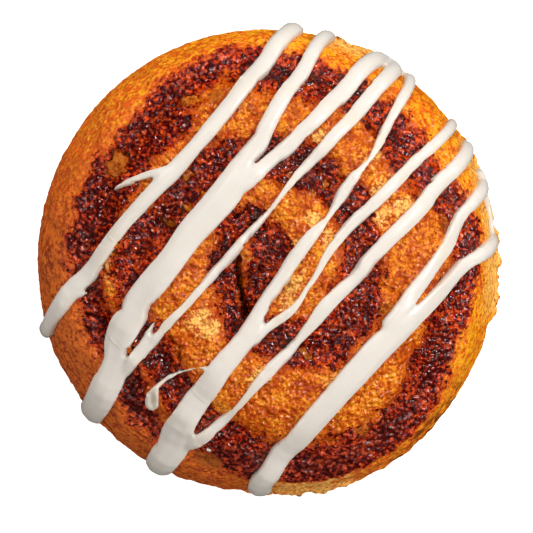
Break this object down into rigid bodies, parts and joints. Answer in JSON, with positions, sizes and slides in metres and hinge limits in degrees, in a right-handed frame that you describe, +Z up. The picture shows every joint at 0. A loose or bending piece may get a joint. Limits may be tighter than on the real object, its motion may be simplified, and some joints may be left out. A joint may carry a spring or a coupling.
{
  "type": "cinnamon roll",
  "caption": "Baked spiral roll of dough and cinnamon filling with white icing drizzled across its top, standing on a flat base.",
  "frame": {"origin": "centre of the whole roll's plan box, on the tray plane that the flat base rests on", "axes": "+Z up out of the swirl; +X to the right and +Y away from a viewer who looks down on the top"},
  "size_m": [0.1048, 0.1078, 0.038],
  "materials": {
    "dough": "golden-brown baked crust, slightly shiny, with dark cinnamon filling along the swirl",
    "icing": "set white sugar icing, smooth with a soft gloss",
    "cinnamon_filling": "wet, grainy dark red-brown cinnamon sugar"
  },
  "bodies": {
    "root": {"baked_roll": "dough", "icing_left": "icing", "icing_middle": "icing", "icing_right": "icing", "icing_fleck": "icing"}
  },
  "joints": []
}
